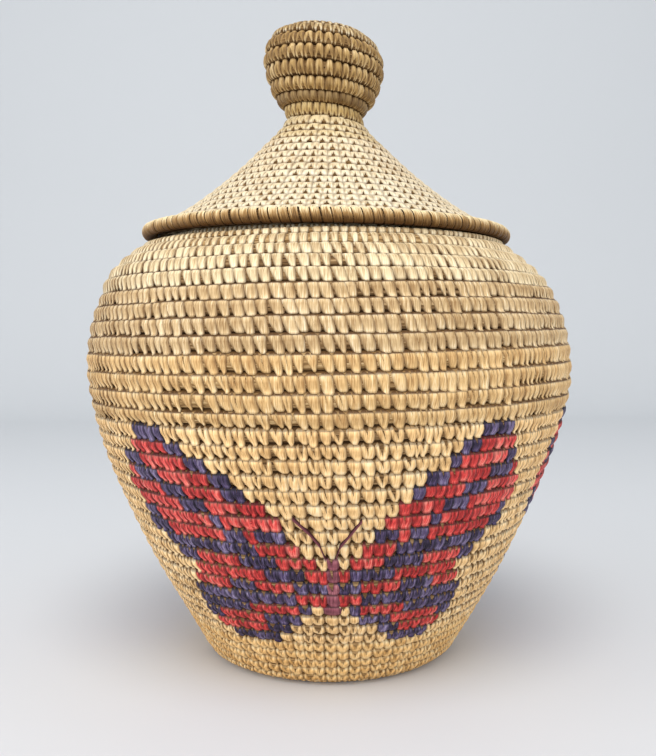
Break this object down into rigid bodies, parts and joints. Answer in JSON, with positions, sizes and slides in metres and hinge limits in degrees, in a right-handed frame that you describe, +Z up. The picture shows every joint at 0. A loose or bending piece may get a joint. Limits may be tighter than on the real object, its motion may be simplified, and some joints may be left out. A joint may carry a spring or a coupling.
{
  "type": "coiled grass basket",
  "caption": "Round-bellied coiled grass storage basket with a conical lift-off lid, hollow knob and thick wrapped brim; stepped winged figures in dyed grass round the wall.",
  "frame": {"origin": "on the floor, under the middle of the basket", "axes": "+Z up along the axis of basket and lid; -Y towards the viewer of the picture, where one figure is centred"},
  "size_m": [0.2206, 0.2206, 0.286],
  "materials": {
    "wall_grass": "dry split grass, satin",
    "base_grass": "dry split grass, worn",
    "start_grass": "dry split grass, knotted",
    "figure_grass": "dry split grass with dyed stitches",
    "knob_grass": "dry split grass, satin",
    "lid_grass": "dry split grass, satin",
    "brim_grass": "closely wrapped fine grass",
    "dyed_red": "dyed split grass",
    "dyed_purple": "dyed split grass",
    "dyed_plum": "dyed split grass"
  },
  "bodies": {
    "basket": {"base_start": "start_grass", "base_coil": "base_grass", "foot_coil": "base_grass", "lower_wall_coil": "wall_grass", "figure_lower_coil": "figure_grass", "figure_middle_coil": "figure_grass", "figure_upper_coil": "figure_grass", "belly_coil": "wall_grass", "shoulder_coil": "wall_grass", "mouth_coil": "wall_grass", "rim_coil": "wall_grass"},
    "lid": {"knob_start": "knob_grass", "knob_top_coil": "knob_grass", "knob_side_coil": "knob_grass", "neck_coil": "knob_grass", "upper_cone_coil": "lid_grass", "lower_cone_coil": "lid_grass", "cone_edge_coil": "lid_grass", "brim_coil": "brim_grass", "collar_coil": "lid_grass"}
  },
  "joints": [
    {"name": "lid_lift", "type": "slide", "parent": "basket", "child": "lid", "axis": [0, 0, 1], "range_m": [0, 0.12]}
  ]
}
